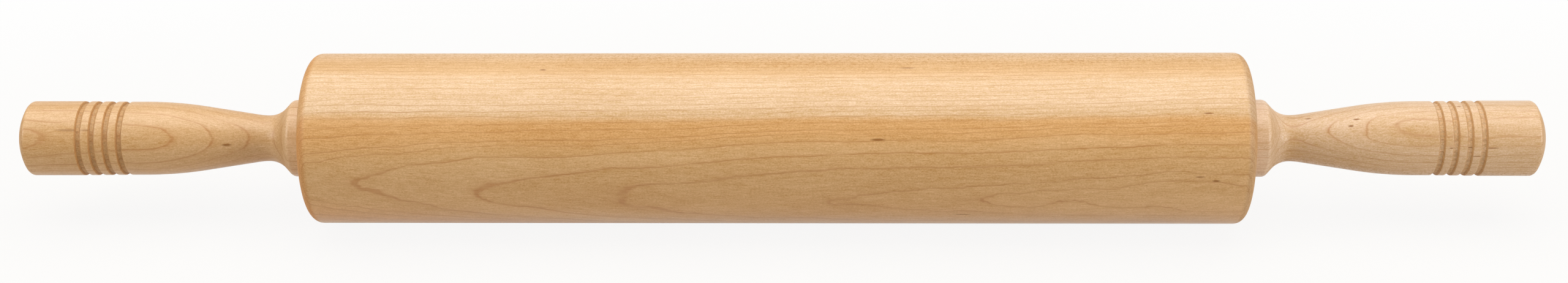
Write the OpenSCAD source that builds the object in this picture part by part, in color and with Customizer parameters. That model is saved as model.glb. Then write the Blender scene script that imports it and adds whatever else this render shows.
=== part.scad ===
// Rolling pin with a barrel that runs on ball bearings and two turned handles.
// Millimetres. The axle lies along X, Z is up and the origin is the middle of the barrel on its axis.

/* [Barrel] */
// Length of the barrel between its end faces
barrel_length = 381; // [300:1:460]
// Diameter of the barrel
barrel_d = 69.85; // [58:0.05:90]
// Rounding radius of the barrel's two rims
barrel_rim_r = 4.3; // [1:0.1:8]
// Depth of the relief behind each bearing, so that the barrel touches only the outer race
relief_depth = 1.2; // [0.5:0.1:4]
// Width of the shoulder that each outer race seats on
seat_w = 1.6; // [1:0.1:2]

/* [Handle] */
// Length of a handle from its collar's face to its tip
handle_length = 120.3; // [100:0.1:150]
// Diameter of the collar beside the barrel
collar_d = 31.5; // [28:0.1:38]
// Width of the collar's straight rim
collar_w = 6; // [3:0.1:9]
// Rounding of the collar's edge that faces the barrel
collar_edge_r = 0.8; // [0.2:0.1:2]
// Radius of the collar's outer shoulder
shoulder_r = 2.6; // [1:0.1:4]
// Radius of the hollow between the collar and the neck
cove_r = 10.3; // [6:0.1:14]
// Smallest diameter, at the neck
neck_d = 18.86; // [16:0.02:23]
// Distance from the collar's face to the neck
neck_at = 17.5; // [14:0.1:24]
// Radius of the hollow where the neck starts to swell
neck_blend_r = 28; // [10:1:60]
// Radius of the full part of the swell
swell_r = 162; // [60:1:240]
// Diameter at the top of the swell
grip_d = 30.2; // [26:0.1:38]
// Diameter of the straight end past the grooves
end_d = 30.66; // [26:0.02:38]
// Radius of the edge where the straight end meets the domed tip
end_round_r = 1.8; // [0.5:0.1:4]
// Radius of the domed tip
dome_r = 27; // [22:0.5:60]

/* [Turned grooves] */
// Number of grooves around each handle
groove_count = 4; // [1:1:5]
// Distance from one groove to the next
groove_pitch = 5.6; // [4:0.1:7]
// Width of a groove at its lips
groove_w = 2.6; // [1:0.1:3.4]
// Width of a groove's floor
groove_floor_w = 1.5; // [0.5:0.1:2]
// Depth of a groove
groove_depth = 0.9; // [0.3:0.1:1.5]
// Distance from the tip to the middle of the last groove
groove_set_back = 27.6; // [20:0.1:34]
// Straight part between the swell and the first groove
swell_land = 6; // [2:0.1:10]

/* [Axle rod] */
// Diameter of the rod's turned-down ends, which carry the bearings
journal_d = 8; // [7:0.1:9.6]
// Height of the shoulder that each inner race seats against
shoulder_h = 0.7625; // [0.4:0.0125:1.2]
// How far the rod reaches into each handle
rod_reach = 55; // [30:1:80]
// Chamfer on the rod's two ends
rod_chamfer = 1; // [0.2:0.1:2]

/* [Ball bearing] */
// Outside diameter of a bearing
bearing_d = 22; // [18:0.5:27]
// Width of a bearing
bearing_w = 7; // [6.5:0.1:9]
// Number of balls in a bearing
ball_count = 7; // [5:1:8]
// Diameter of a ball
ball_d = 3.969; // [3.2:0.001:4.8]
// Depth of the race grooves below the races' lands
race_groove_depth = 0.75; // [0.4:0.01:1]
// Thickness of a shield
shield_t = 0.3; // [0.2:0.05:0.4]
// Depth of the step in the outer race that a shield sits in
shield_step = 0.6; // [0.4:0.05:0.8]
// Least wall of the cage behind a ball
cage_wall = 0.4; // [0.3:0.05:0.6]
// Chamfer on the races' corners
race_chamfer = 0.3; // [0.1:0.05:0.5]

/* [Handle insert] */
// Diameter of the threaded insert in a handle, over its barbs
insert_d = 12; // [10.5:0.1:14]
// Length of the insert with its flange
insert_length = 16; // [10:0.5:24]
// Diameter of the insert's flange
insert_flange_d = 15.6; // [15:0.1:20]
// Thickness of the insert's flange
insert_flange_t = 1.2; // [0.8:0.1:2]
// Number of barbs around the insert
barb_count = 5; // [2:1:8]
// Height of a barb
barb_h = 0.6; // [0.2:0.05:0.7]

/* [Clearances] */
// Gap between the barrel's end face and a handle's collar
handle_gap = 1.2; // [0.5:0.1:4]
// Depth of a bearing's outer face below the barrel's end face
bearing_set_back = 0.3; // [0:0.1:2]
// Radial gap between the rod and the bore through the barrel
bore_clearance = 0.84; // [0.4:0.01:2]
// Radial gap of a race on its journal or in its pocket
race_fit = 0.02; // [0.01:0.01:0.05]
// Radial gap between a ball and the bottom of its race groove
ball_play = 0.02; // [0.01:0.01:0.05]
// Gap around a ball in its cage pocket
pocket_play = 0.1; // [0.05:0.01:0.15]
// Gap between the cage and the races and shields
cage_gap = 0.25; // [0.15:0.01:0.3]
// Gap between a shield and the inner race
shield_gap = 0.25; // [0.15:0.01:0.4]
// Radial gap of the washer around the rod
washer_fit = 0.1; // [0.05:0.01:0.3]
// Radial gap between the rod's threaded end and what it screws into
thread_fit = 0.05; // [0.02:0.01:0.1]
// Radial gap between the insert and its pocket
insert_fit = 0.05; // [0.02:0.01:0.1]
// Gap past the rod's end in the handle's blind bore
rod_end_gap = 3; // [1:0.5:8]

/* [Hidden] */
$fn = 96;
// How far the rod's threaded end is turned below its journal
thread_cut = 0.1;
// Radius of a race groove over the radius of a ball
race_ratio = 1.04;
// Reach of the cage past the balls' middle on its open side, over the radius of a ball
cage_grip = 0.6;
// How far the washer's rim stays inside the inner race's land
washer_margin = 0.2;
// How far a cutting body reaches past what it cuts
overcut = 1;
// Straight steps in each arc of an outline
arc_steps = 8;

barrel_r = barrel_d / 2;
collar_r = collar_d / 2;
neck_r = neck_d / 2;
grip_r = grip_d / 2;
end_r = end_d / 2;
first_groove = handle_length - groove_set_back - (groove_count - 1) * groove_pitch;
swell_end = first_groove - groove_w / 2 - swell_land;

journal_r = journal_d / 2;
rod_r = journal_r + shoulder_h;
thread_r = journal_r - thread_cut;
bore_r = rod_r + bore_clearance;

bearing_r = bearing_d / 2;
ball_r = ball_d / 2;
pitch_r = (bearing_r + journal_r) / 2;
race_groove_r = ball_r * race_ratio;
inner_groove_r = pitch_r - ball_r - ball_play;
outer_groove_r = pitch_r + ball_r + ball_play;
inner_land_r = inner_groove_r + race_groove_depth;
outer_land_r = outer_groove_r - race_groove_depth;
cage_back = ball_r + pocket_play + cage_wall;
cage_front = -cage_grip * ball_r;
shield_in = cage_back + cage_gap;
shield_seat_r = outer_land_r + shield_step;

half_barrel = barrel_length / 2;
bearing_face = half_barrel - bearing_set_back;
bearing_mid = bearing_face - bearing_w / 2;
bearing_back = bearing_face - bearing_w;
collar_face = half_barrel + handle_gap;
washer_t = handle_gap + bearing_set_back;
washer_r = inner_land_r - washer_margin;

wood = "#D3A673";
steel = "#B8BBC0";
bright_steel = "#D5D8DC";
nylon = "#E8E2D0";
brass = "#C9A24B";

// Points [radius, height] along an arc about [r, z], from angle a to angle b
function arc(r, z, radius, a, b) = [
    for (i = [0:arc_steps]) let (t = a + (b - a) * i / arc_steps)
        [r + radius * cos(t), z + radius * sin(t)]
];

// Points of an S from [r0, z0] to [r1, z1] that leaves and arrives along the axis: an arc of radius a,
// a straight run, and an arc of radius b. The arcs shrink alike where the space is too short for them.
// The first point is left out, because what comes before the S ends on it.
function s_curve(r0, z0, r1, z1, a, b) =
    let (
        rise = abs(r1 - r0), run = z1 - z0, way = sign(r1 - r0),
        share = min(1, (run * run + rise * rise) / (2 * rise * (a + b))),
        total = share * (a + b), ra = share * a, rb = share * b,
        slope = atan2(run, total - rise) - acos(min(1, total / norm([run, total - rise])))
    )
    concat(
        [for (i = [1:arc_steps]) let (t = slope * i / arc_steps)
            [r0 + way * ra * (1 - cos(t)), z0 + ra * sin(t)]],
        [for (i = [0:arc_steps]) let (t = slope * (1 - i / arc_steps))
            [r1 - way * rb * (1 - cos(t)), z1 - rb * sin(t)]]
    );

// Stands what was turned about Z along the axle, on the right side (1) or on the left (-1)
module on_axle(side) {
    mirror([side < 0 ? 1 : 0, 0, 0]) rotate([0, 90, 0]) children();
}

// A ring about Z from radius r0 to r1 and from height z0 to z1
module ring(r0, r1, z0, z1) {
    translate([0, 0, z0]) difference() {
        cylinder(r = r1, h = z1 - z0);
        translate([0, 0, -overcut]) cylinder(r = r0, h = z1 - z0 + 2 * overcut);
    }
}

module barrel() {
    core = barrel_rim_r;
    color(wood) on_axle(1) difference() {
        rotate_extrude() polygon(concat(
            [[0, -half_barrel]],
            arc(barrel_r - core, core - half_barrel, core, -90, 0),
            arc(barrel_r - core, half_barrel - core, core, 0, 90),
            [[0, half_barrel]]
        ));
        cylinder(r = bore_r, h = barrel_length + 2 * overcut, center = true);
        for (end = [-1, 1]) scale([1, 1, end]) {
            translate([0, 0, bearing_back])
                cylinder(r = bearing_r + race_fit, h = half_barrel - bearing_back + overcut);
            translate([0, 0, bearing_back - relief_depth])
                cylinder(r = bearing_r - seat_w, h = relief_depth + overcut);
        }
    }
}

module axle_rod() {
    tip = collar_face + rod_reach;
    half = [
        [rod_r, bearing_back], [journal_r, bearing_back], [journal_r, collar_face - washer_t / 2],
        [thread_r, collar_face - washer_t / 2], [thread_r, tip - rod_chamfer], [thread_r - rod_chamfer, tip]
    ];
    color(steel) on_axle(1) rotate_extrude() polygon(concat(
        [for (i = [len(half) - 1:-1:0]) [half[i][0], -half[i][1]]],
        half,
        [[0, tip], [0, -tip]]
    ));
}

module handle(side) {
    dome_z = handle_length - dome_r;
    round_r = end_r - end_round_r;
    tilt = acos(round_r / (dome_r - end_round_r));
    round_z = dome_z + (dome_r - end_round_r) * sin(tilt);
    land_step = (end_r - grip_r) / groove_count;
    grooves = [for (i = [0:groove_count - 1])
        let (z = first_groove + i * groove_pitch, before = grip_r + i * land_step, after = before + land_step)
        each [
            [before, z - groove_w / 2], [before - groove_depth, z - groove_floor_w / 2],
            [before - groove_depth, z + groove_floor_w / 2], [after, z + groove_w / 2]
        ]];
    pilot_r = thread_r + thread_fit + thread_cut;
    color(wood) on_axle(side) translate([0, 0, collar_face]) difference() {
        rotate_extrude() polygon(concat(
            [[0, 0]],
            arc(collar_r - collar_edge_r, collar_edge_r, collar_edge_r, -90, 0),
            [[collar_r, collar_w]],
            s_curve(collar_r, collar_w, neck_r, neck_at, shoulder_r, cove_r),
            s_curve(neck_r, neck_at, grip_r, swell_end, neck_blend_r, swell_r),
            grooves,
            arc(round_r, round_z, end_round_r, 0, tilt),
            [for (i = [1:arc_steps]) let (t = tilt + (90 - tilt) * i / arc_steps)
                [dome_r * cos(t), dome_z + dome_r * sin(t)]]
        ));
        translate([0, 0, -overcut]) cylinder(r = pilot_r, h = rod_reach + rod_end_gap + overcut);
        translate([0, 0, -overcut]) cylinder(r = insert_d / 2 + insert_fit, h = insert_length + overcut);
        translate([0, 0, -overcut])
            cylinder(r = insert_flange_d / 2 + insert_fit, h = insert_flange_t + overcut);
    }
}

module handle_insert(side) {
    barb_p = (insert_length - insert_flange_t) / barb_count;
    color(brass) on_axle(side) translate([0, 0, collar_face]) difference() {
        rotate_extrude() polygon(concat(
            [[0, 0], [insert_flange_d / 2, 0], [insert_flange_d / 2, insert_flange_t]],
            [for (i = [0:barb_count - 1]) let (z = insert_flange_t + i * barb_p)
                each [[insert_d / 2 - (i == 0 ? barb_h : 0), z], [insert_d / 2 - barb_h, z + barb_p]]],
            [[0, insert_length]]
        ));
        translate([0, 0, -overcut]) cylinder(r = thread_r + thread_fit, h = insert_length + 2 * overcut);
    }
}

module thrust_washer(side) {
    color(steel) on_axle(side) ring(journal_r + washer_fit, washer_r, bearing_face, collar_face);
}

// A race's cross-section: its outline, cut by the groove that the balls run in
module race(outline, groove_at) {
    rotate_extrude() difference() {
        polygon(outline);
        translate([groove_at, 0]) circle(r = race_groove_r);
    }
}

module bearing_outer_race(side) {
    half = bearing_w / 2;
    c = race_chamfer;
    color(bright_steel) on_axle(side) translate([0, 0, bearing_mid]) race([
        [outer_land_r, -shield_in], [shield_seat_r, -shield_in], [shield_seat_r, -half],
        [bearing_r - c, -half], [bearing_r, c - half], [bearing_r, half - c], [bearing_r - c, half],
        [shield_seat_r, half], [shield_seat_r, shield_in], [outer_land_r, shield_in]
    ], outer_groove_r - race_groove_r);
}

module bearing_inner_race(side) {
    half = bearing_w / 2;
    c = race_chamfer;
    bore = journal_r + race_fit;
    color(bright_steel) on_axle(side) translate([0, 0, bearing_mid]) race([
        [bore, c - half], [bore + c, -half], [inner_land_r, -half],
        [inner_land_r, half], [bore + c, half], [bore, half - c]
    ], inner_groove_r + race_groove_r);
}

module bearing_cage(side) {
    color(nylon) on_axle(side) translate([0, 0, bearing_mid]) difference() {
        ring(inner_land_r + cage_gap, outer_land_r - cage_gap, cage_front, cage_back);
        for (i = [0:ball_count - 1])
            rotate([0, 0, 360 * i / ball_count]) translate([pitch_r, 0, 0]) sphere(r = ball_r + pocket_play);
    }
}

module bearing_balls(side) {
    color(bright_steel) on_axle(side) translate([0, 0, bearing_mid])
        for (i = [0:ball_count - 1])
            rotate([0, 0, 360 * i / ball_count]) translate([pitch_r, 0, 0]) sphere(r = ball_r);
}

// A shield, on the bearing's outer face (1) or its inner face (-1)
module bearing_shield(side, face) {
    color(steel) on_axle(side) translate([0, 0, bearing_mid]) scale([1, 1, face])
        ring(inner_land_r + shield_gap, shield_seat_r, shield_in, shield_in + shield_t);
}

barrel();
axle_rod();
handle(-1);  // left_handle
handle_insert(-1);  // left_handle_insert
thrust_washer(-1);  // left_thrust_washer
bearing_outer_race(-1);  // left_bearing_outer_race
bearing_inner_race(-1);  // left_bearing_inner_race
bearing_cage(-1);  // left_bearing_cage
bearing_balls(-1);  // left_bearing_balls
bearing_shield(-1, -1);  // left_bearing_inner_shield
bearing_shield(-1, 1);  // left_bearing_outer_shield
handle(1);  // right_handle
handle_insert(1);  // right_handle_insert
thrust_washer(1);  // right_thrust_washer
bearing_outer_race(1);  // right_bearing_outer_race
bearing_inner_race(1);  // right_bearing_inner_race
bearing_cage(1);  // right_bearing_cage
bearing_balls(1);  // right_bearing_balls
bearing_shield(1, -1);  // right_bearing_inner_shield
bearing_shield(1, 1);  // right_bearing_outer_shield
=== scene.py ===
"""A baker's rolling pin: a maple barrel on ball bearings, two turned maple handles and a steel axle.

The packed model is the fixed frame. Its wooden pieces are turned again here with softened edges, and every
piece, seen or hidden, gets the finish of its real material.
"""
import math

import bmesh
import bpy
from bpy.props import FloatProperty, FloatVectorProperty, IntProperty, PointerProperty
from bpy.types import NodeSocket, Operator, Panel, PropertyGroup
from mathutils import Matrix, Vector


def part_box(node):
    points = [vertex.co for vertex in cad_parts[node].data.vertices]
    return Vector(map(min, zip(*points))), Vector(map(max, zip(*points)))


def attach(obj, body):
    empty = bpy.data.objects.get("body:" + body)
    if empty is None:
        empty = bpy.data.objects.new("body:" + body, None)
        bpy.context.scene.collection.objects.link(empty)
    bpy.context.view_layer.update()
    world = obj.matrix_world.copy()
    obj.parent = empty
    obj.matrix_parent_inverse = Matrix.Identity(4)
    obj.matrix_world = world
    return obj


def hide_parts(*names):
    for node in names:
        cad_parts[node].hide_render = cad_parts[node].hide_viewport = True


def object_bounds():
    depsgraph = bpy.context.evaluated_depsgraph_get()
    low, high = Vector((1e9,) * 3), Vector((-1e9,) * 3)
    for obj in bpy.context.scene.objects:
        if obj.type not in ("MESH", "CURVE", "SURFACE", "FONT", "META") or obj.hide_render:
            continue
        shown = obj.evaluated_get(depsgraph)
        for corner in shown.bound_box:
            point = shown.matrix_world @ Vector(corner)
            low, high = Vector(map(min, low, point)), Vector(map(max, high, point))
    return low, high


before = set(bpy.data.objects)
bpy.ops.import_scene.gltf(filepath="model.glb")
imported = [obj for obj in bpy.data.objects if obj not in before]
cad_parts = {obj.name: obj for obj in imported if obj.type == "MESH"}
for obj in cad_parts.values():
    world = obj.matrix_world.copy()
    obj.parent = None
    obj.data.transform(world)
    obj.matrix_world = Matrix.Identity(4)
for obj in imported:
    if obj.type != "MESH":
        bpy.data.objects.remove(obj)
cad_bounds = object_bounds()

bl_info = {
    "name": "Maple rolling pin",
    "version": (1, 0, 0),
    "blender": (4, 5, 0),
    "location": "3D View > Sidebar > Rolling Pin",
    "description": "Turns a rolling pin's wooden pieces and finishes its wood, steel, brass and polyamide",
    "category": "Add Mesh",
}

MM = 0.001
SIDES = {"left": -1, "right": 1}
PHOTO_WIDTH = 2560

# Steps round a turned piece, along each arc of its outline, and round its rims and its smaller corners
BARREL_STEPS = 256
HANDLE_STEPS = 160
ARC_STEPS = 12
RIM_STEPS = 12
CORNER_STEPS = 4
# Rings of faces along the barrel's straight outside and its bore
BARREL_RINGS = 24
# Edges sharper than this keep a crease between their faces
CREASE_ANGLE = math.radians(38)
# Points of a mesh that are nearer than this are one
SAME_POINT = 0.001 * MM
# How far below its lip a groove's torn floor starts to show
LIP_DEPTH = 0.1 * MM


def linear(colour):
    """An sRGB hex colour as linear red, green and blue."""
    channels = [int(colour[i : i + 2], 16) / 255 for i in (1, 3, 5)]
    return [c / 12.92 if c <= 0.04045 else ((c + 0.055) / 1.055) ** 2.4 for c in channels]


def size(name, description, millimetres):
    """A length that a user may change."""
    return FloatProperty(
        name=name, description=description, default=millimetres * MM, min=0, unit="LENGTH", precision=5
    )


def power(name, description, watts):
    """A lamp's power that a user may change."""
    return FloatProperty(name=name, description=description, default=watts, min=0, unit="POWER")


def paint(name, description, colour):
    """A colour that a user may change."""
    return FloatVectorProperty(
        name=name, description=description, default=linear(colour), min=0, max=1, size=3, subtype="COLOR"
    )


def span(node):
    """Lowest and highest corner of a packed node, in millimetres."""
    return [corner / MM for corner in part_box(node)]


def outer_radius(node):
    """Largest distance of a packed node from the axle, in millimetres."""
    return max(math.hypot(v.co.y, v.co.z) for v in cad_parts[node].data.vertices) / MM


BARREL_SPAN = span("barrel")
HANDLE_SPAN = span("right_handle")
RACE_SPAN = span("right_bearing_outer_race")
RACE_RADIUS = outer_radius("right_bearing_outer_race")
INSERT_SPAN = span("right_handle_insert")
INSERT_LENGTH = INSERT_SPAN[1].x - INSERT_SPAN[0].x
ROD_SPAN = span("axle_rod")
FLOOR_Z = cad_bounds[0].z
# Room round a bearing in its pocket, and past the rod's end in its bore, in millimetres
POCKET_GAP = 0.02
BORE_GAP = 3


class RollingPinBarrel(PropertyGroup):
    """Sizes of the barrel."""

    length: size("Length", "Distance between the two end faces", BARREL_SPAN[1].x - BARREL_SPAN[0].x)
    radius: size("Radius", "Radius of the rolling surface", outer_radius("barrel"))
    rim: size("Rim rounding", "Rounding radius of the two rims", 4.3)
    pocket_radius: size("Pocket radius", "Radius of a bearing's pocket", RACE_RADIUS + POCKET_GAP)
    pocket_floor: size("Pocket floor", "Where a pocket's floor lies along the axle", RACE_SPAN[0].x)
    relief_radius: size("Relief radius", "Radius of the relief behind a bearing", 9.4)
    relief_depth: size("Relief depth", "Depth of the relief behind a bearing", 1.2)
    bore_radius: size("Bore radius", "Radius of the bore that the axle passes", 5.6025)
    soft_edge: size("Soft edge", "Rounding of the mouths that hand sanding leaves", 0.35)


class RollingPinHandle(PropertyGroup):
    """Sizes of a handle. Places are measured from its collar's face towards its tip."""

    collar_face: size("Collar face", "Where the collar's face lies along the axle", HANDLE_SPAN[0].x)
    length: size("Length", "From the collar's face to the tip", HANDLE_SPAN[1].x - HANDLE_SPAN[0].x)
    collar_radius: size("Collar radius", "Radius of the collar's rim", outer_radius("right_handle"))
    collar_width: size("Collar width", "Width of the collar's rim", 6)
    collar_edge: size("Collar edge", "Rounding of the edge that faces the barrel", 0.8)
    shoulder: size("Shoulder", "Radius of the collar's outer shoulder", 2.6)
    cove: size("Cove", "Radius of the hollow between collar and neck", 10.3)
    neck_radius: size("Neck radius", "Smallest radius of the handle", 9.43)
    neck_place: size("Neck place", "Where the neck is thinnest", 17.5)
    neck_blend: size("Neck blend", "Radius of the hollow where the neck starts to swell", 28)
    swell: size("Swell", "Radius of the full part of the swell", 162)
    grip_radius: size("Grip radius", "Radius at the top of the swell", 15.1)
    end_radius: size("End radius", "Radius of the straight end past the grooves", 15.33)
    end_edge: size("End edge", "Rounding where the straight end meets the domed tip", 1.8)
    dome: size("Dome", "Radius of the domed tip", 27)
    grooves: IntProperty(name="Grooves", description="Number of turned grooves", default=4, min=1, max=5)
    groove_pitch: size("Groove pitch", "From one groove to the next", 5.6)
    groove_width: size("Groove width", "Width of a groove at its lips", 2.6)
    groove_floor: size("Groove floor", "Width of a groove's floor", 1.5)
    groove_depth: size("Groove depth", "Depth of a groove", 0.9)
    groove_set_back: size("Groove set-back", "From the tip to the middle of the last groove", 27.6)
    swell_land: size("Swell land", "Straight part between the swell and the first groove", 6)
    soft_lip: size("Soft lip", "Rounding of the grooves' lips and floors", 0.3)
    flange_radius: size("Flange pocket radius", "Radius of the pocket for the insert's flange", 7.85)
    flange_depth: size("Flange pocket depth", "Depth of the pocket for the insert's flange", 1.2)
    insert_radius: size("Insert pocket radius", "Radius of the pocket for the insert", 6.05)
    insert_depth: size("Insert pocket depth", "Depth of the insert's pocket", INSERT_LENGTH)
    bore_radius: size("Bore radius", "Radius of the blind bore for the rod", 4.05)
    bore_depth: size("Bore depth", "Depth of the blind bore", ROD_SPAN[1].x - HANDLE_SPAN[0].x + BORE_GAP)


class RollingPinColours(PropertyGroup):
    """Colours of the materials. A tint multiplies the wood's colour."""

    barrel_pale: paint("Barrel, pale", "The barrel's palest years", "#DCB585")
    barrel_warm: paint("Barrel, warm", "The barrel's band of warmer years", "#D8A465")
    barrel_tan: paint("Barrel, tan", "The barrel's outermost years", "#D6A970")
    left_wood: paint("Left handle", "Wood of the left handle", "#D3A771")
    right_wood: paint("Right handle", "Wood of the right handle, the palest", "#D6B187")
    ring_line: paint("Ring line", "Late wood at the end of each year", "#B27024")
    thirsty_end: paint("Thirsty end grain", "Tint of end grain that drank much oil", "#F1E0C4")
    sealed_end: paint("Sealed end grain", "Tint of dense end grain", "#E5E4EA")
    domed_end: paint("Domed end grain", "Tint of a handle's outer end", "#EEEAE4")
    # Painted shade: on the handles this tint darkens the groove walls that face the middle, away from the
    # nearer side lamp, besides their end grain
    end_grain_and_wall_shade: paint("Scorched end grain", "Tint of a wall that the tool rubbed", "#EBDBBC")
    # The floor tints grey and darken the grooves: torn grain, and painted shade in the recesses
    torn_grain_and_shade: paint("Torn grain", "Tint of a groove's rough floor", "#E7E0D2")
    torn_pale_and_shade: paint("Pale torn grain", "Tint of the right handle's cleaner floors", "#F8F4EC")
    streak: paint("Mineral streak", "Small dark streaks in the wood", "#8C5400")
    steel: paint("Steel", "Ground or plated steel", "#B8BBC0")
    bright_steel: paint("Bearing steel", "Lapped bearing steel", "#D5D8DC")
    brass: paint("Brass", "Turned brass", "#C9A24B")
    polyamide: paint("Polyamide", "Natural moulded polyamide", "#E8E2D0")


class RollingPinStage(PropertyGroup):
    """The camera, the floor and the lamps."""

    elevation: FloatProperty(
        name="Elevation", description="Camera above the horizon", default=math.radians(30), subtype="ANGLE"
    )
    yaw: FloatProperty(
        name="Yaw", description="Turn of the camera towards the left end", default=math.radians(1.375),
        subtype="ANGLE",
    )
    distance: size("Distance", "From the camera to the axle", 870)
    side_step: size("Side step", "Camera's place right of the pin's middle", 24)
    focal_pixels: FloatProperty(
        name="Focal length", description="In pixels of a picture 2560 wide", default=3459
    )
    rise_pixels: FloatProperty(
        name="Rise", description="How many pixels the axle lies above the picture's middle", default=5.4
    )
    softbox_height: size("Softbox height", "Softbox above the axle", 1000)
    softbox_length: size("Softbox length", "Softbox along the pin", 2200)
    softbox_width: size("Softbox width", "Softbox across the pin", 1160)
    softbox_set_back: size("Softbox set-back", "Softbox's middle behind the pin's", 130)
    softbox_power: power("Softbox power", "Softbox above the pin", 17.4)
    left_power: power("Left power", "Lamp past the left end", 5.5)
    right_power: power("Right power", "Lamp past the right end", 7.5)
    board: paint("Board", "The floor's own colour, which lights the pin from below", "#D8CEBB")
    shadow_share: FloatProperty(
        name="Shadow share", description="Share of the floor's own light that the camera sees", default=0.1,
        subtype="FACTOR",
    )


def arc(x, r, radius, start, stop):
    """Points along an arc about (x, r). Its angles are in radians, from straight out towards +X."""
    angles = [start + (stop - start) * i / ARC_STEPS for i in range(ARC_STEPS + 1)]
    return [(x + radius * math.sin(a), r + radius * math.cos(a)) for a in angles]


def s_curve(x0, r0, x1, r1, first, last):
    """Points of an S from (x0, r0) to (x1, r1) that starts and ends along the axle: an arc of radius first,
    a straight run and an arc of radius last. The arcs shrink alike where the space is too short for them.
    The first point is left out, because what comes before the S ends on it."""
    rise, run, way = abs(r1 - r0), x1 - x0, math.copysign(1, r1 - r0)
    share = min(1, (run**2 + rise**2) / (2 * rise * (first + last)))
    first, last = share * first, share * last
    total = first + last
    slope = math.atan2(run, total - rise) - math.acos(min(1, total / math.hypot(run, total - rise)))
    turns = [slope * i / ARC_STEPS for i in range(ARC_STEPS + 1)]
    leaving = [(x0 + first * math.sin(t), r0 + way * first * (1 - math.cos(t))) for t in turns[1:]]
    arriving = [(x1 - last * math.sin(t), r1 - way * last * (1 - math.cos(t))) for t in reversed(turns)]
    return leaving + arriving


def barrel_outline(b):
    """Half of the barrel's cross-section, from the middle of its outside round the right end to its bore.
    A third number is the rounding of that corner."""
    end = b.length / 2
    relief_floor = b.pocket_floor - b.relief_depth
    straight = [(end * i / BARREL_RINGS, b.radius) for i in range(BARREL_RINGS // 2, BARREL_RINGS - 1)]
    bore = [(relief_floor * i / BARREL_RINGS, b.bore_radius) for i in range(BARREL_RINGS - 1, 0, -2)]
    return straight + [
        (end, b.radius, b.rim),
        (end, b.pocket_radius, b.soft_edge),
        (b.pocket_floor, b.pocket_radius),
        (b.pocket_floor, b.relief_radius, b.soft_edge),
        (relief_floor, b.relief_radius),
        (relief_floor, b.bore_radius, b.soft_edge),
    ] + bore


def handle_outline(h):
    """A handle's cross-section from the bottom of its bore round the collar to the middle of the tip."""
    first_groove = h.length - h.groove_set_back - (h.grooves - 1) * h.groove_pitch
    swell_end = first_groove - h.groove_width / 2 - h.swell_land
    land_step = (h.end_radius - h.grip_radius) / h.grooves
    grooves = []
    for i in range(h.grooves):
        middle, before = first_groove + i * h.groove_pitch, h.grip_radius + i * land_step
        grooves += [
            (middle - h.groove_width / 2, before, h.soft_lip),
            (middle - h.groove_floor / 2, before - h.groove_depth, h.soft_lip),
            (middle + h.groove_floor / 2, before - h.groove_depth, h.soft_lip),
            (middle + h.groove_width / 2, before + land_step, h.soft_lip),
        ]
    dome_middle, edge_r = h.length - h.dome, h.end_radius - h.end_edge
    tilt = math.acos(edge_r / (h.dome - h.end_edge))
    edge_x = dome_middle + (h.dome - h.end_edge) * math.sin(tilt)
    return [
        (h.bore_depth, 0),
        (h.bore_depth, h.bore_radius),
        (h.insert_depth, h.bore_radius),
        (h.insert_depth, h.insert_radius),
        (h.flange_depth, h.insert_radius),
        (h.flange_depth, h.flange_radius),
        (0, h.flange_radius),
        *arc(h.collar_edge, h.collar_radius - h.collar_edge, h.collar_edge, -math.pi / 2, 0),
        (h.collar_width, h.collar_radius),
        *s_curve(h.collar_width, h.collar_radius, h.neck_place, h.neck_radius, h.shoulder, h.cove),
        *s_curve(h.neck_place, h.neck_radius, swell_end, h.grip_radius, h.neck_blend, h.swell),
        *grooves,
        *arc(edge_x, edge_r, h.end_edge, 0, tilt),
        *arc(dome_middle, 0, h.dome, tilt, math.pi / 2)[1:],
    ]


def turned_piece(name, outline, steps, closed, side=1, start=0):
    """A piece turned about the X axis from its outline. Each outline point is a place along the axle, a
    radius and, for a rounded corner, the rounding. side mirrors it and start moves its places along the axle.
    """
    bm = bmesh.new()
    points = [bm.verts.new((side * (start + x), 0, r)) for x, r, *_ in outline]
    for here, there in zip(points, points[1:]):
        bm.edges.new((here, there))
    if closed:
        bm.edges.new((points[-1], points[0]))
    corners = {}
    for point, (_, _, *rounding) in zip(points, outline):
        for amount in rounding:
            corners.setdefault(amount, []).append(point)
    for amount, there in corners.items():
        bmesh.ops.bevel(
            bm, geom=there, offset=amount, offset_type="OFFSET", profile=0.5, affect="VERTICES",
            segments=RIM_STEPS if amount > MM else CORNER_STEPS, clamp_overlap=True, material=-1,
        )
    bmesh.ops.spin(
        bm, geom=bm.verts[:] + bm.edges[:], cent=(0, 0, 0), axis=(1, 0, 0), angle=math.tau, steps=steps,
        use_merge=True,
    )
    bmesh.ops.remove_doubles(bm, verts=bm.verts, dist=SAME_POINT)
    bmesh.ops.recalc_face_normals(bm, faces=bm.faces)
    for face in bm.faces:
        face.smooth = True
    mesh = bpy.data.meshes.new(name)
    bm.to_mesh(mesh)
    bm.free()
    mesh.set_sharp_from_angle(angle=CREASE_ANGLE)
    piece = bpy.data.objects.new(name, mesh)
    bpy.context.scene.collection.objects.link(piece)
    return piece


def fit_out(piece, material, body, slot, *nodes):
    """Gives a finished piece its material and its body, and hides the packed nodes that it stands for. slot
    is not used.
    """
    piece.data.materials.append(material)
    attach(piece, body)
    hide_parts(*nodes)


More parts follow.
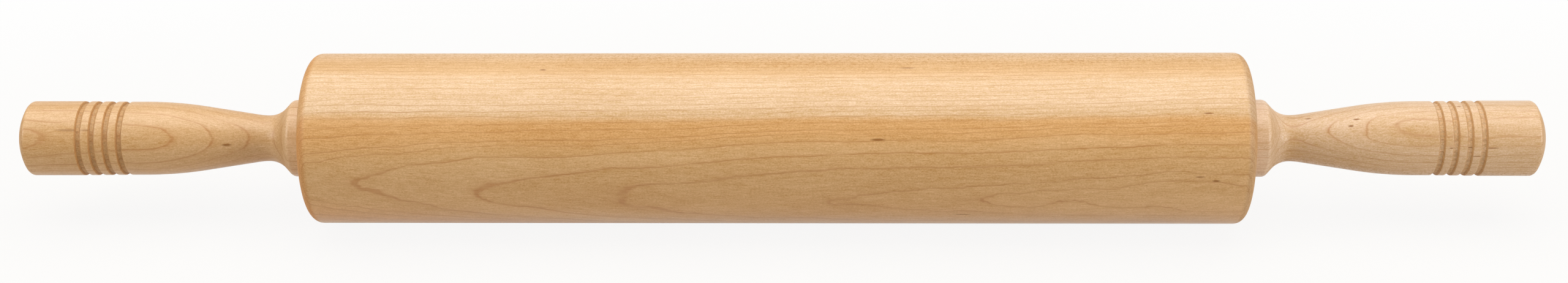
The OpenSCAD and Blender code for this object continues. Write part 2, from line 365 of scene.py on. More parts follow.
def add(tree, kind, inputs=(), output=0, stops=(), points=(), **settings):
    """Adds one shader node and returns one of its outputs. inputs gives each socket a value or the output
    that feeds it, stops are a colour ramp's places and colours, and points are a curve's own."""
    node = tree.nodes.new("ShaderNode" + kind)
    for key, value in settings.items():
        setattr(node, key, value)
    for key, value in dict(inputs).items():
        if isinstance(value, NodeSocket):
            tree.links.new(value, node.inputs[key])
        else:
            node.inputs[key].default_value = value
    for i, (place, colour) in enumerate(stops):
        stop = node.color_ramp.elements[i] if i < 2 else node.color_ramp.elements.new(place)
        stop.position, stop.color = place, (*colour, 1)
    for i, place in enumerate(points):
        curve = node.mapping.curves[0]
        point = curve.points[i] if i < 2 else curve.points.new(*place)
        point.location, point.handle_type = place, "VECTOR"
    if points:
        node.mapping.update()
    return node.outputs[output] if node.outputs else None


def new_material(name):
    """An empty material with its shader, and the tree that they are in."""
    material = bpy.data.materials.new(name)
    material.use_nodes = True
    tree = material.node_tree
    tree.nodes.clear()
    shader = add(tree, "BsdfPrincipled").node
    add(tree, "OutputMaterial", {"Surface": shader.outputs[0]})
    return material, tree, shader


# Half the depth that a blank's years fill, and how far each step of seed moves its patterns, in millimetres
BLANK_REACH = 60
SEED_STEPS = (0, 40, 17)


class Blank:
    """The piece of maple that one wooden part is turned from. Lengths are in millimetres and angles in
    degrees. bark is the elevation, on the camera's side, of the direction in which the rings were growing.
    Along the axle it turns by spiral and then by sway, and the rings rise by slope and sink by bow. pith is
    how far the rings' middle lies from the axle. lines are the depths towards the bark at which years end,
    and past them the years are as wide as usual. tones are depths and the colours there, which rise half as
    fast as the rings. ends are the tints of the end grain that faces left and right; on a handle the one
    that faces the middle is also painted shade on the groove walls that turn away from the nearer side lamp.
    torn is that of groove floors, torn grain with painted shade in the grooves, and cut is how far out of the
    surface the fibres run where an end's tint starts and where it is whole. Each pale band is how much the
    wood pales, or darkens, and from where to where that ends: the collar's paler wood and darker cove, and
    painted light on the collar where the barrel shades it and a painted highlight on its shoulder. seed makes
    the small patterns its own."""

    def __init__(
        self, bark, pith, lines, usual, tones, streaks, ends, seed, spiral=0, sway=0, slope=0, bow=0,
        cut=(0.3, 0.7), palings=(), torn="torn_grain_and_shade",
    ):
        self.bark, self.spiral, self.sway, self.slope, self.bow = bark, spiral, sway, slope, bow
        self.pith, self.tones, self.streaks = pith, tones, streaks
        self.ends, self.cut, self.palings, self.torn = ends, cut, palings, torn
        self.offset = [step * seed for step in SEED_STEPS]
        self.depths = list(lines)
        while self.depths[0] > -BLANK_REACH:
            self.depths.insert(0, self.depths[0] - usual)
        while self.depths[-1] < BLANK_REACH:
            self.depths.append(self.depths[-1] + usual)

    def share(self, depth):
        """A depth as a share of the whole blank, from 0 to 1."""
        return (depth - self.depths[0]) / (self.depths[-1] - self.depths[0])


# Each streak is its place along the axle, its elevation, its length, its height and, if faint, its darkness
BLANKS = {
    "barrel": Blank(
        bark=-14.8, spiral=-0.029, sway=0.00022, slope=0.0218, bow=0.000068, pith=60, usual=1.9, seed=3.1,
        lines=(12.3, 14.6, 16.7, 18.2, 19.7, 21.3, 22.5, 24, 25.4, 27.1, 27.8, 29.4, 31.6, 33.5, 35.5, 36.1,
               38.4),
        tones={-9: "barrel_pale", 2: "barrel_tan", 8: "barrel_tan", 12.5: "barrel_pale",
               23.2: "barrel_pale", 24.8: "barrel_warm", 27.5: "barrel_warm", 30.5: "barrel_tan"},
        streaks=((41, 29, 6.4, 1.1), (-93.2, 81.8, 3, 0.9), (53.1, 83.6, 7, 0.7), (170.9, 46.3, 4, 0.7),
                 (174.4, 1, 3.4, 1), (167.9, 4, 4, 0.6), (75.3, -31.3, 8, 0.6)),
        ends=("thirsty_end", "sealed_end"), cut=(0.03, 0.35),
    ),
    "left": Blank(
        bark=30, slope=-0.02, pith=80, usual=2.4, seed=11.7,
        lines=(11.4, 14.26, 17.13, 19.79, 20.96),
        tones={0: "left_wood", 15: "left_wood", 19: "left_wood", 25: "barrel_warm"},
        streaks=((-287.8, 42.2, 12, 1.3, 0.55), (-280.8, 42.2, 5, 1.1, 0.5), (-224.2, 16.1, 5, 1.2)),
        ends=("domed_end", "end_grain_and_wall_shade"),
        # Pale bands: the collar's paler wood and darker cove, plus painted light on the collar where the
        # barrel shades it and a painted highlight on its shoulder
        palings=((0.24, 200.4, 201.4), (-0.02, 203, 207)),
    ),
    "right": Blank(
        bark=46, pith=80, usual=2.3, seed=23.9,
        lines=(7.3, 9.5, 11.67, 13.72, 14.79, 17.2),
        tones={0: "right_wood", 6: "right_wood", 12: "right_wood", 20: "left_wood"},
        streaks=((231.8, 52.7, 2.6, 1.1), (234.2, 65.7, 3.6, 0.9), (215.8, 81.1, 3, 0.8),
                 (271.1, 14.7, 2, 0.6), (279.5, 14.8, 8, 0.4), (287.3, 14.9, 6, 0.5), (282, 1.5, 6, 0.4),
                 (275.9, 87.2, 2, 0.6)),
        ends=("end_grain_and_wall_shade", "domed_end"), torn="torn_pale_and_shade",
        # Pale bands: as on the left, with painted light on the collar and a painted highlight on its shoulder
        palings=((0.08, 200.6, 201.6), (0.24, 204, 207), (-0.1, 210, 216)),
    ),
}

# How fibres wander: the length and width of each wave, and how far it moves them, in millimetres
WAVES = (((80, 26, 26), 2), ((26, 9, 9), 1), ((7, 3, 3), 0.22), ((2.2, 1.2, 1.2), 0.12))
# Late wood's darkness through a year: it comes up slowly, then ends sharply
LATE_WOOD = (
    (0, 0.8), (1, 1), (0.03, 0.2), (0.08, 0.05), (0.6, 0), (0.84, 0.1), (0.93, 0.35), (0.965, 0.95),
)
# Each pattern's length along the fibres and its widths along and across the rings in millimetres, its detail
# and its distortion. Pores and flecks are drawn three times as coarse as they are, so that they show.
GRAINS = {
    "fading": ((30, 6, 6), 2, 0),
    "mottle": ((45, 12, 12), 3, 0),
    "fibre": ((26, 2.4, 0.42), 3, 0),
    "fleck": ((0.7, 0.4, 0.33), 1, 0),
    "pore": ((5.5, 0.5, 0.33), 2, 0),
    "lace": ((1.1, 0.5, 1.6), 2, 0.9),
    "torn": ((0.9, 0.9, 0.9), 3, 0),
}
GRAIN_ROUGHNESS = 0.62
# How far patterns swing the wood's shade, and how far a swing of 1 takes red, green and blue: what is darker
# is also browner
SWINGS = {"mottle": 0.08, "fibre": 0.065, "fleck": 0.18, "pore": -0.16}
SWING_COLOUR = (0.65, 1.08, 2.15)
YEAR_SWING, LACE_SWING = 0.06, -0.45
# A pattern's values from 1 to 2 become those from 3 to 4, here and in each MapRange node below. Year lines
# differ in strength, fade here and there and are ragged.
YEAR_STRENGTH = {1: 0, 2: 1, 3: 0.55, 4: 1}
FADING = {1: 0.3, 2: 0.6, 3: 0.5, 4: 1}
RAGGED = {1: 0.35, 2: 0.6, 3: 0.5, 4: 1}
# Lace shows from this value of its pattern, and where the surface turns this far away from the rays
LACE_SHOWS = {1: 0.47, 2: 0.62, 3: 0, 4: 1}
QUARTERED = {1: 0.12, 2: 0.5, 3: 1, 4: 0}
# How much of the swing is left where the fibres run out of the surface
CALM = {1: 0.6, 2: 0.95, 3: 1, 4: 0.3}
# Light and dark places of a torn floor
TORN_SHADE = {1: 0.35, 2: 0.65, 3: 0.86, 4: 1.14}
# How dark a streak is, and its edge, where its middle is 0 and its own outline 1
STREAK_DARK = 0.92
STREAK_EDGE = {1: 0.4, 2: 1.2}
# Roughness across the fibres, and that of end grain, torn floors and streaks
FIBRE_GLOSS = {1: 0.25, 2: 0.75, 3: 0.4, 4: 0.33}
DULL_GLOSS = 0.6
# How high lace, flecks and torn floors stand beside the fibres, and the fibres' own height in millimetres
LACE_RELIEF, FLECK_RELIEF, TORN_RELIEF = 0.5, 0.8, 3
FIBRE_HEIGHT = 0.05
OILED_MAPLE_IOR = 1.6
POLYAMIDE_IOR = 1.53
# A noise seldom leaves this range, and these are the shades and roughnesses at its two ends. A metal's
# roughness is a share of its own.
NOISE_REACH = {1: 0.3, 2: 0.7}
METAL_SHADE, METAL_GLOSS = (0.93, 1.05), (0.8, 1.25)
FLOW_SHADE, FLOW_GLOSS = (0.95, 1.03), (0.42, 0.5)
# How far red, green and blue light spread inside polyamide, in millimetres
MILKINESS = (1.2, 1, 0.8)
# How high the rings on turned and ground metal stand, in millimetres
RING_HEIGHT = 0.01
# A Mix node of colours takes them at 6 and 7 and gives them back at 2
COLOUR_MIX = {"output": 2, "data_type": "RGBA"}
WHITE = (1, 1, 1, 1)


def wandering(tree, still, blank):
    """Places in the wood, in millimetres, which wander as its fibres do."""
    seeded = add(tree, "VectorMath", {0: still, 1: blank.offset})
    mm = still
    for period, height in WAVES:
        cells = add(tree, "VectorMath", {0: seeded, 1: [1 / p for p in period]}, operation="MULTIPLY")
        shift = add(tree, "TexNoise", {"Vector": cells, "Scale": 1, "Detail": 1}, output="Color")
        shift = add(tree, "VectorMath", {0: shift, 1: (-0.5, -0.5, -0.5)})
        mm = add(tree, "VectorMath", {0: shift, 1: (0, height, height), 2: mm}, operation="MULTIPLY_ADD")
    return mm


def growth(tree, mm, x, blank):
    """How the wood grew: the turn from the pin's directions to its own, the ray from the pith, the depths
    of its years and tones as shares of the blank, and places along the fibres, along the rings and in
    depth."""
    # The turn, the rings' depth and the tones' depth, each with its start, its steady change along the axle
    # and the change that grows
    x_squared = add(tree, "Math", {0: x, 1: x}, operation="MULTIPLY")
    courses = []
    for start, steady, growing in (
        [math.radians(angle) for angle in (blank.bark - 90, blank.spiral, blank.sway)],
        (-blank.pith, blank.slope, -blank.bow),
        (-blank.pith, blank.slope / 2, -blank.bow),
    ):
        course = add(tree, "Math", {0: x, 1: steady, 2: start}, operation="MULTIPLY_ADD")
        course = add(tree, "Math", {0: x_squared, 1: growing, 2: course}, operation="MULTIPLY_ADD")
        courses.append(course)
    turn, rings, tones = courses

    # Turned so that Z runs towards the bark, Y along the rings and X along the fibres
    wood = add(tree, "VectorRotate", {"Vector": mm, "Angle": turn}, rotation_type="X_AXIS")
    ray = add(tree, "VectorMath", {0: wood, 1: (0, 1, 1), 2: (0, 0, blank.pith)}, operation="MULTIPLY_ADD")
    reach = add(tree, "VectorMath", {0: ray}, output="Value", operation="LENGTH")
    depth = add(tree, "Math", {0: reach, 1: rings})
    whole = {1: blank.depths[0], 2: blank.depths[-1], 3: 0, 4: 1}
    years = add(tree, "MapRange", {0: depth, **whole})
    tones = add(tree, "MapRange", {0: add(tree, "Math", {0: reach, 1: tones}), **whole})
    along_rings = add(tree, "SeparateXYZ", {0: wood}, output="Y")
    place = add(tree, "CombineXYZ", {0: x, 1: along_rings, 2: depth})
    place = add(tree, "VectorMath", {0: place, 1: blank.offset})
    return turn, ray, years, tones, place


def grain_patterns(tree, place):
    """The patterns of the grain by name."""
    grains = {}
    for kind, (period, detail, distortion) in GRAINS.items():
        cells = add(tree, "VectorMath", {0: place, 1: [1 / p for p in period]}, operation="MULTIPLY")
        look = {"Scale": 1, "Detail": detail, "Roughness": GRAIN_ROUGHNESS, "Distortion": distortion}
        grains[kind] = add(tree, "TexNoise", {"Vector": cells, **look})
    return grains


def year_lines(tree, years, grains, blank):
    """How dark the late wood is at each point, and a chance from 0 to 1 that each year has of its own."""
    count = len(blank.depths)
    ends = [(blank.share(depth), i / count) for i, depth in enumerate(blank.depths)]
    years = add(tree, "FloatCurve", {"Value": years}, points=[ends[0], ends[-1], *ends[1:-1]])
    years = add(tree, "Math", {0: years, 1: count}, operation="MULTIPLY")
    year = add(tree, "Math", {0: years}, operation="FLOOR")
    lateness = add(tree, "Math", {0: years}, operation="FRACT")
    line = add(tree, "FloatCurve", {"Value": lateness}, points=LATE_WOOD)
    chance = add(tree, "TexWhiteNoise", {"W": year}, noise_dimensions="1D")
    for pattern, reach in ((chance, YEAR_STRENGTH), (grains["fading"], FADING), (grains["fleck"], RAGGED)):
        share = add(tree, "MapRange", {0: pattern, **reach})
        line = add(tree, "Math", {0: line, 1: share}, operation="MULTIPLY")
    return line, chance


def ray_lace(tree, facing, turn, ray, grains):
    """Rays run out from the pith, so they show as lace where the surface lies along them."""
    lace = add(tree, "MapRange", {0: grains["lace"], **LACE_SHOWS})
    normal = add(tree, "VectorRotate", {"Vector": facing, "Angle": turn}, rotation_type="X_AXIS")
    outward = add(tree, "VectorMath", {0: ray}, operation="NORMALIZE")
    outward = add(tree, "VectorMath", {0: normal, 1: outward}, output="Value", operation="DOT_PRODUCT")
    outward = add(tree, "Math", {0: outward}, operation="ABSOLUTE")
    quartered = add(tree, "MapRange", {0: outward, **QUARTERED})
    return add(tree, "Math", {0: lace, 1: quartered}, operation="MULTIPLY")


def wood_shade(tree, out, end_on, chance, lace, grains, blank):
    """What the patterns multiply the wood's colour by, with painted light on the handles' collars.
    out is the distance from the pin's middle.
    """
    # A pattern is 0.5 on average and seldom passes 0.25 and 0.75, where it swings the shade in full
    start = -2 * sum(SWINGS.values()) - YEAR_SWING
    swing = add(tree, "Math", {0: chance, 1: 2 * YEAR_SWING, 2: start}, operation="MULTIPLY_ADD")
    swing = add(tree, "Math", {0: lace, 1: LACE_SWING, 2: swing}, operation="MULTIPLY_ADD")
    # Bands along the axle pale or darken the wood: partly its own colour, partly painted light on the collar
    # and a painted highlight on its shoulder
    for amount, whole, none in blank.palings:
        paling = add(tree, "MapRange", {0: out, 1: whole, 2: none, 3: amount, 4: 0})
        swing = add(tree, "Math", {0: swing, 1: paling})
    for kind, amount in SWINGS.items():
        swing = add(tree, "Math", {0: grains[kind], 1: 4 * amount, 2: swing}, operation="MULTIPLY_ADD")
    # Faces cut square across the fibres are even, and show little but the years' arcs
    calm = add(tree, "MapRange", {0: end_on, **CALM})
    swing = add(tree, "Math", {0: swing, 1: calm}, operation="MULTIPLY")
    return add(tree, "VectorMath", {0: swing, 1: SWING_COLOUR, 2: (1, 1, 1)}, operation="MULTIPLY_ADD")


def end_grain(tree, facing_x, end_on, blank, colours):
    """End grain drinks the oil, on one end more than on the other where the fibres run out of the surface.
    On a handle the tint that faces the middle is also painted shade on the groove walls that turn away from
    the nearer side lamp. The results are how far each point is end grain, and its tint."""
    dull = add(tree, "MapRange", {0: end_on, 1: blank.cut[0], 2: blank.cut[1], 3: 0, 4: 1})
    left_end, right_end = ((*getattr(colours, end), 1) for end in blank.ends)
    rightward = add(tree, "Math", {0: facing_x, 1: 0}, operation="GREATER_THAN")
    # On a handle the middle-facing tint is partly painted shade on groove walls turned away from the nearer
    # side lamp
    tint = add(tree, "Mix", {0: rightward, 6: left_end, 7: right_end}, **COLOUR_MIX)
    return dull, add(tree, "Mix", {0: dull, 6: WHITE, 7: tint}, **COLOUR_MIX)


def groove_floors(tree, still, out, grains, blank, colours, grooves):
    """Groove floors stay as the tool left them, torn and rough. Their tint greys and darkens them: torn
    grain, and painted shade in the grooves. The results are how far each point is such a floor, its tint and
    its height."""
    middle, half, floor_radius, land_radius = grooves
    from_axle = add(tree, "VectorMath", {0: still, 1: (0, 1, 1)}, operation="MULTIPLY")
    from_axle = add(tree, "VectorMath", {0: from_axle}, output="Value", operation="LENGTH")
    deep = add(tree, "MapRange", {0: from_axle, 1: floor_radius, 2: land_radius, 3: 1, 4: 0})
    grooved = add(tree, "Math", {0: out, 1: middle, 2: half}, operation="COMPARE")
    deep = add(tree, "Math", {0: deep, 1: grooved}, operation="MULTIPLY")
    # The floor tint is torn grain and painted shade in the grooves
    torn = (*getattr(colours, blank.torn), 1)
    tint = add(tree, "Mix", {0: deep, 6: WHITE, 7: torn}, **COLOUR_MIX)
    shade = add(tree, "MapRange", {0: grains["torn"], **TORN_SHADE})
    shade = add(tree, "Mix", {0: deep, 2: 1.0, 3: shade}, data_type="FLOAT")
    tint = add(tree, "VectorMath", {0: tint, "Scale": shade}, operation="SCALE")
    return deep, tint, add(tree, "Math", {0: grains["torn"], 1: deep}, operation="MULTIPLY")


def mineral_streaks(tree, still, blank, radius):
    """How dark each point is with mineral streaks, each a thin lens along the fibres on the surface."""
    streaks = 0.0
    for place_x, elevation, length, height, *faint in blank.streaks:
        angle, r = math.radians(elevation), radius(place_x)
        to_middle = (-place_x, r * math.cos(angle), -r * math.sin(angle))
        per_half = (2 / length, 2 / height, 2 / height)
        lens = add(tree, "VectorMath", {0: still, 1: to_middle})
        lens = add(tree, "VectorMath", {0: lens, 1: per_half}, operation="MULTIPLY")
        lens = add(tree, "VectorMath", {0: lens}, output="Value", operation="LENGTH")
        dark = faint[0] if faint else STREAK_DARK
        fade = {0: lens, **STREAK_EDGE, 3: dark, 4: 0}
        lens = add(tree, "MapRange", fade, interpolation_type="SMOOTHSTEP")
        streaks = add(tree, "Math", {0: lens, 1: streaks}, operation="MAXIMUM")
    return streaks


def maple(name, blank, radius, colours, grooves=None):
    """Hard maple, turned, sanded and oiled. The eye sees thin brown year lines that the round shape cuts into
    long V's and U's, fine fibres, lace of rays where the cut is quartered, and dull ends and groove floors.
    radius gives the surface's radius at a place along the axle. grooves are the middle and half the width of
    the grooved part, and the radii of the grooves' floors and of the wood between them."""
    material, tree, shader = new_material(name)
    facing = add(tree, "TexCoord", output="Normal")
    place = add(tree, "TexCoord", output="Object")
    still = add(tree, "VectorMath", {0: place, "Scale": 1 / MM}, operation="SCALE")
    x = add(tree, "SeparateXYZ", {0: still})
    out = add(tree, "Math", {0: x}, operation="ABSOLUTE")
    facing_x = add(tree, "SeparateXYZ", {0: facing})
    end_on = add(tree, "Math", {0: facing_x}, operation="ABSOLUTE")

    turn, ray, years, tones, place = growth(tree, wandering(tree, still, blank), x, blank)
    grains = grain_patterns(tree, place)
    line, chance = year_lines(tree, years, grains, blank)
    lace = ray_lace(tree, facing, turn, ray, grains)
    dull, tint = end_grain(tree, facing_x, end_on, blank, colours)
    shade = wood_shade(tree, out, end_on, chance, lace, grains, blank)

    stops = [(blank.share(depth), getattr(colours, tone)) for depth, tone in blank.tones.items()]
    tone = add(tree, "ValToRGB", {0: tones}, stops=[stops[0], stops[-1], *stops[1:-1]])
    colour = add(tree, "Mix", {0: line, 6: tone, 7: (*colours.ring_line, 1)}, **COLOUR_MIX)
    colour = add(tree, "VectorMath", {0: colour, 1: shade}, operation="MULTIPLY")
    colour = add(tree, "VectorMath", {0: colour, 1: tint}, operation="MULTIPLY")
    relief = add(tree, "Math", {0: lace, 1: LACE_RELIEF, 2: grains["fibre"]}, operation="MULTIPLY_ADD")
    relief = add(tree, "Math", {0: grains["fleck"], 1: FLECK_RELIEF, 2: relief}, operation="MULTIPLY_ADD")
    if grooves:
        deep, tint, torn = groove_floors(tree, still, out, grains, blank, colours, grooves)
        colour = add(tree, "VectorMath", {0: colour, 1: tint}, operation="MULTIPLY")
        relief = add(tree, "Math", {0: torn, 1: TORN_RELIEF, 2: relief}, operation="MULTIPLY_ADD")
        dull = add(tree, "Math", {0: deep, 1: dull}, operation="MAXIMUM")
    streaks = mineral_streaks(tree, still, blank, radius)
    colour = add(tree, "Mix", {0: streaks, 6: colour, 7: (*colours.streak, 1)}, **COLOUR_MIX)
    dull = add(tree, "Math", {0: streaks, 1: dull}, operation="MAXIMUM")
    gloss = add(tree, "MapRange", {0: grains["fibre"], **FIBRE_GLOSS})
    gloss = add(tree, "MapRange", {0: dull, 1: 0, 2: 1, 3: gloss, 4: DULL_GLOSS})
    bump = add(tree, "Bump", {"Height": relief, "Strength": 0.5, "Distance": FIBRE_HEIGHT * MM})
    shader.inputs["IOR"].default_value = OILED_MAPLE_IOR
    tree.links.new(colour, shader.inputs["Base Color"])
    tree.links.new(gloss, shader.inputs["Roughness"])
    tree.links.new(bump, shader.inputs["Normal"])
    return material


def turned_metal(name, colour, roughness, spacing):
    """A metal with the fine rings that a lathe or grinder leaves. The eye sees a shine that they draw out.
    spacing is the rings' distance in millimetres."""
    material, tree, shader = new_material(name)
    place = add(tree, "TexCoord", output="Object")
    mm = add(tree, "VectorMath", {0: place, "Scale": 1 / MM}, operation="SCALE")
    x = add(tree, "SeparateXYZ", {0: mm})
    off_axle = add(tree, "VectorMath", {0: mm, 1: (0, 1, 1)}, operation="MULTIPLY")
    off_axle = add(tree, "VectorMath", {0: off_axle}, output="Value", operation="LENGTH")
    track = add(tree, "Math", {0: off_axle, 1: x})
    track = add(tree, "Math", {0: track, 1: 1 / spacing}, operation="MULTIPLY")
    rings = add(tree, "TexNoise", {"W": track, "Scale": 1, "Detail": 3}, noise_dimensions="1D")
    smudge = add(tree, "TexNoise", {"Vector": mm, "Scale": 0.4, "Detail": 3})
    shade = add(tree, "MapRange", {0: rings, **NOISE_REACH, 3: METAL_SHADE[0], 4: METAL_SHADE[1]})
    tinted = add(tree, "VectorMath", {0: list(colour), "Scale": shade}, operation="SCALE")
    low, high = (share * roughness for share in METAL_GLOSS)
    gloss = add(tree, "MapRange", {0: smudge, **NOISE_REACH, 3: low, 4: high})
    bump = add(tree, "Bump", {"Height": rings, "Strength": 0.3, "Distance": RING_HEIGHT * MM})
    shader.inputs["Metallic"].default_value = 1
    tree.links.new(tinted, shader.inputs["Base Color"])
    tree.links.new(gloss, shader.inputs["Roughness"])
    tree.links.new(bump, shader.inputs["Normal"])
    return material


def moulded_polyamide(name, colour):
    """Natural polyamide, injection moulded. The eye sees a milky, waxy white with faint flow marks."""
    material, tree, shader = new_material(name)
    place = add(tree, "TexCoord", output="Object")
    mm = add(tree, "VectorMath", {0: place, "Scale": 1 / MM}, operation="SCALE")
    flow = add(tree, "TexNoise", {"Vector": mm, "Scale": 0.7, "Detail": 3, "Distortion": 1.2})
    shade = add(tree, "MapRange", {0: flow, **NOISE_REACH, 3: FLOW_SHADE[0], 4: FLOW_SHADE[1]})
    tinted = add(tree, "VectorMath", {0: list(colour), "Scale": shade}, operation="SCALE")
    gloss = add(tree, "MapRange", {0: flow, **NOISE_REACH, 3: FLOW_GLOSS[0], 4: FLOW_GLOSS[1]})
    shader.inputs["IOR"].default_value = POLYAMIDE_IOR
    shader.inputs["Subsurface Weight"].default_value = 0.2
    shader.inputs["Subsurface Radius"].default_value = [depth * MM for depth in MILKINESS]
    shader.inputs["Subsurface Scale"].default_value = 1
    tree.links.new(tinted, shader.inputs["Base Color"])
    tree.links.new(gloss, shader.inputs["Roughness"])
    return material


def finish_nodes(material, *nodes):
    """Gives packed nodes that stay as they are their material."""
    for name in nodes:
        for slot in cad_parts[name].material_slots:
            slot.material = material


class ROLLINGPIN_OT_barrel(Operator):
    """Turn the barrel and give it its maple."""

    bl_idname = "rolling_pin.barrel"
    bl_label = "Turn the barrel"

    def execute(self, context):
        sizes, colours = context.scene.rolling_pin_barrel, context.scene.rolling_pin_colours
        half = barrel_outline(sizes)
        outline = [(-x, *rest) for x, *rest in reversed(half)] + half
        piece = turned_piece("barrel_wood", outline, BARREL_STEPS, closed=True)
        name = "Hard maple, turned and oiled, barrel"
        wood = maple(name, BLANKS["barrel"], lambda x: sizes.radius / MM, colours)
        fit_out(piece, wood, "barrel", "maple_barrel", "barrel")
        return {"FINISHED"}


class ROLLINGPIN_OT_handles(Operator):
    """Turn both handles, each from its own blank."""

    bl_idname = "rolling_pin.handles"
    bl_label = "Turn the handles"

    def execute(self, context):
        sizes, colours = context.scene.rolling_pin_handle, context.scene.rolling_pin_colours
        outline = handle_outline(sizes)
        last = sizes.collar_face + sizes.length - sizes.groove_set_back
        half = (sizes.grooves - 1) * sizes.groove_pitch / 2
        floor_radius = sizes.end_radius - sizes.groove_depth
        places = (last - half, half + sizes.groove_width, floor_radius, sizes.grip_radius - LIP_DEPTH)
        grooves = [place / MM for place in places]

        def radius(x):
            """The handle's radius at a place along the pin's axle, both in millimetres."""
            there = abs(x) * MM - sizes.collar_face
            turned = [point for point in outline if point[1] > sizes.flange_radius]
            before = max(i for i, point in enumerate(turned[:-1]) if point[0] <= there)
            (x0, r0, *_), (x1, r1, *_) = turned[before : before + 2]
            return (r0 + (r1 - r0) * (there - x0) / (x1 - x0)) / MM

        for side in SIDES:
            piece = turned_piece(
                f"{side}_handle_wood", outline, HANDLE_STEPS, closed=False, side=SIDES[side],
                start=sizes.collar_face,
            )
            name = f"Hard maple, turned and oiled, {side} handle"
            wood = maple(name, BLANKS[side], radius, colours, grooves)
            fit_out(piece, wood, "axle_and_handles", "maple_handles", f"{side}_handle")
        return {"FINISHED"}


class ROLLINGPIN_OT_axle(Operator):
    """Finish the rod, the washers and the handles' inserts."""

    bl_idname = "rolling_pin.axle"
    bl_label = "Finish the axle"

    def execute(self, context):
        colours = context.scene.rolling_pin_colours
        rod = turned_metal("Bright steel rod, ground", colours.steel, roughness=0.24, spacing=0.12)
        washer = turned_metal("Steel washer, zinc plated", colours.steel, roughness=0.4, spacing=0.3)
        insert = turned_metal("Brass insert, turned", colours.brass, roughness=0.28, spacing=0.2)
        finish_nodes(rod, "axle_rod")
        for side in SIDES:
            finish_nodes(washer, f"{side}_thrust_washer")
            finish_nodes(insert, f"{side}_handle_insert")
        return {"FINISHED"}


class ROLLINGPIN_OT_bearings(Operator):
    """Finish the two ball bearings."""

    bl_idname = "rolling_pin.bearings"
    bl_label = "Finish the bearings"

    def execute(self, context):
        colours = context.scene.rolling_pin_colours
        race = turned_metal("Chromium steel race, ground", colours.bright_steel, roughness=0.16, spacing=0.08)
        ball = turned_metal("Chromium steel ball, lapped", colours.bright_steel, roughness=0.07, spacing=1.4)
        shield = turned_metal("Steel shield, pressed", colours.steel, roughness=0.34, spacing=0.5)
        cage = moulded_polyamide("Polyamide cage, moulded", colours.polyamide)
        for side in SIDES:
            finish_nodes(race, f"{side}_bearing_outer_race", f"{side}_bearing_inner_race")
            finish_nodes(ball, f"{side}_bearing_balls")
            finish_nodes(shield, f"{side}_bearing_inner_shield", f"{side}_bearing_outer_shield")
            finish_nodes(cage, f"{side}_bearing_cage")
        return {"FINISHED"}


# Half the floor's width, and the faces along each side of it
FLOOR_REACH = 6
FLOOR_FACES = 8
# How much a metre along and across the pin counts, and from where to where the shadow fades, in such metres
SHADOW_SHAPE = (0.3, 1, 0)
SHADOW_REACH = {1: 0.08, 2: 0.3}
# Places of the lamps past the ends, and their length and width
LEFT_LAMP = (-1.2, -0.5, 0.7)
RIGHT_LAMP = (1.2, -0.65, 0.5)
LAMP_SIZE = (0.8, 0.6)
# The room's faint own light
ROOM_COLOUR = (1, 0.98, 0.95, 1)
ROOM_STRENGTH = 0.06
# The camera's sensor in millimetres, and how near and how far it sees
SENSOR_WIDTH = 36
CAMERA_REACH = (0.05, 50)


def white_where_seen(tree, shader, strength):
    """Mixes a shader with plain white on camera, glossy and transmission rays. strength is white's share."""
    sight = add(tree, "LightPath").node
    seen = sight.outputs["Is Camera Ray"]
    for kind in ("Is Glossy Ray", "Is Transmission Ray"):
        seen = add(tree, "Math", {0: seen, 1: sight.outputs[kind]}, operation="MAXIMUM")
    share = add(tree, "Math", {0: seen, 1: strength}, operation="MULTIPLY")
    white = "Background" if shader.node.type == "BACKGROUND" else "Emission"
    white = add(tree, white, {"Color": WHITE, "Strength": 1})
    return add(tree, "MixShader", {0: share, 1: shader, 2: white})


def floor_material(colour, shadow_share):
    """Matt white board. The camera sees it as white with a soft shadow, which fades out away from the pin."""
    material = bpy.data.materials.new("Paper board, matt white")
    material.use_nodes = True
    tree = material.node_tree
    tree.nodes.clear()
    place = add(tree, "TexCoord", output="Object")
    away = add(tree, "VectorMath", {0: place, 1: SHADOW_SHAPE}, operation="MULTIPLY")
    away = add(tree, "VectorMath", {0: away}, output="Value", operation="LENGTH")
    fade = {0: away, **SHADOW_REACH, 3: 1 - shadow_share, 4: 1}
    white = add(tree, "MapRange", fade, interpolation_type="SMOOTHSTEP")
    board = add(tree, "BsdfDiffuse", {"Color": (*colour, 1)})
    add(tree, "OutputMaterial", {"Surface": white_where_seen(tree, board, white)})
    return material


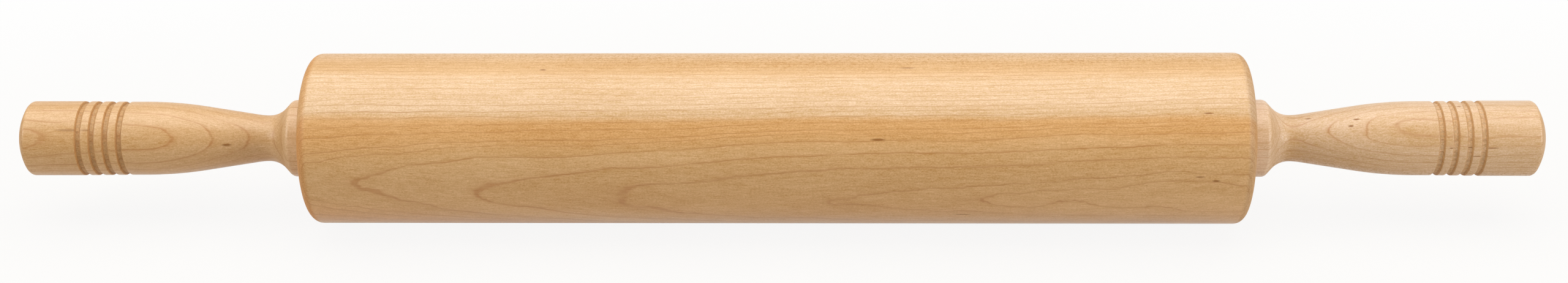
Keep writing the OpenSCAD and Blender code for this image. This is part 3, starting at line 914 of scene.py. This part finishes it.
class ROLLINGPIN_OT_stage(Operator):
    """Set up the camera, the floor, the lamps and the view."""

    bl_idname = "rolling_pin.stage"
    bl_label = "Set the stage"

    def execute(self, context):
        scene = context.scene
        s = scene.rolling_pin_stage
        scene.view_settings.view_transform = "Standard"

        bm = bmesh.new()
        ground = Matrix.Translation((0, 0, FLOOR_Z))
        bmesh.ops.create_grid(
            bm, x_segments=FLOOR_FACES, y_segments=FLOOR_FACES, size=FLOOR_REACH, matrix=ground
        )
        mesh = bpy.data.meshes.new("floor")
        bm.to_mesh(mesh)
        bm.free()
        mesh.materials.append(floor_material(s.board, s.shadow_share))
        floor = bpy.data.objects.new("floor", mesh)
        scene.collection.objects.link(floor)

        # In the plane through the axle and the camera, ahead lies straight at the axle before the yaw
        ahead = Vector((0, math.cos(s.elevation), -math.sin(s.elevation)))
        right = Vector((math.cos(s.yaw), 0, 0)) + math.sin(s.yaw) * ahead
        forward = math.cos(s.yaw) * ahead - Vector((math.sin(s.yaw), 0, 0))
        up = right.cross(forward)
        eye = Vector((s.side_step, 0, 0)) - s.distance * ahead
        camera = bpy.data.cameras.new("camera")
        camera.sensor_fit, camera.sensor_width = "HORIZONTAL", SENSOR_WIDTH
        camera.lens = s.focal_pixels / PHOTO_WIDTH * camera.sensor_width
        camera.shift_y = -s.rise_pixels / PHOTO_WIDTH
        camera.clip_start, camera.clip_end = CAMERA_REACH
        seat = bpy.data.objects.new("camera", camera)
        seat.matrix_world = Matrix((right, up, -forward)).transposed().to_4x4()
        seat.location = eye
        scene.collection.objects.link(seat)
        scene.camera = seat

        softbox_place = (0, s.softbox_set_back, s.softbox_height)
        lamps = (
            ("softbox", softbox_place, (s.softbox_length, s.softbox_width), s.softbox_power),
            ("left_lamp", LEFT_LAMP, LAMP_SIZE, s.left_power),
            ("right_lamp", RIGHT_LAMP, LAMP_SIZE, s.right_power),
        )
        for name, place, lit, watts in lamps:
            lamp = bpy.data.lights.new(name, "AREA")
            lamp.shape, lamp.energy = "RECTANGLE", watts
            lamp.size, lamp.size_y = lit
            holder = bpy.data.objects.new(name, lamp)
            holder.location = place
            holder.rotation_euler = Vector(place).to_track_quat("Z", "Y").to_euler()
            holder.visible_camera = False
            scene.collection.objects.link(holder)

        world = bpy.data.worlds.new("studio")
        world.use_nodes = True
        tree = world.node_tree
        tree.nodes.clear()
        room = add(tree, "Background", {"Color": ROOM_COLOUR, "Strength": ROOM_STRENGTH})
        add(tree, "OutputWorld", {"Surface": white_where_seen(tree, room, 1)})
        scene.world = world
        return {"FINISHED"}


class ROLLINGPIN_PT_sidebar(Panel):
    """Lists the sizes, the colours and the steps that make the rolling pin."""

    bl_idname = "ROLLINGPIN_PT_sidebar"
    bl_label = "Rolling Pin"
    bl_space_type = "VIEW_3D"
    bl_region_type = "UI"
    bl_category = "Rolling Pin"

    def draw(self, context):
        for operator in OPERATORS:
            self.layout.operator(operator.bl_idname)
        for name, group in GROUPS.items():
            box = self.layout.box()
            box.label(text=group.__doc__.split(".")[0])
            for key in group.__annotations__:
                box.prop(getattr(context.scene, name), key)


GROUPS = {
    "rolling_pin_barrel": RollingPinBarrel,
    "rolling_pin_handle": RollingPinHandle,
    "rolling_pin_colours": RollingPinColours,
    "rolling_pin_stage": RollingPinStage,
}
OPERATORS = (
    ROLLINGPIN_OT_barrel,
    ROLLINGPIN_OT_handles,
    ROLLINGPIN_OT_axle,
    ROLLINGPIN_OT_bearings,
    ROLLINGPIN_OT_stage,
)


def register():
    """Registers the classes and gives every scene its groups of sizes and colours."""
    for cls in (*GROUPS.values(), *OPERATORS, ROLLINGPIN_PT_sidebar):
        bpy.utils.register_class(cls)
    for name, group in GROUPS.items():
        setattr(bpy.types.Scene, name, PointerProperty(type=group))


def unregister():
    """Takes back what register gave."""
    for name in GROUPS:
        delattr(bpy.types.Scene, name)
    for cls in reversed((*GROUPS.values(), *OPERATORS, ROLLINGPIN_PT_sidebar)):
        bpy.utils.unregister_class(cls)


def main():
    """Makes the whole rolling pin and its stage."""
    register()
    bpy.ops.rolling_pin.barrel()
    bpy.ops.rolling_pin.handles()
    bpy.ops.rolling_pin.axle()
    bpy.ops.rolling_pin.bearings()
    bpy.ops.rolling_pin.stage()


if __name__ == "__main__":
    main()
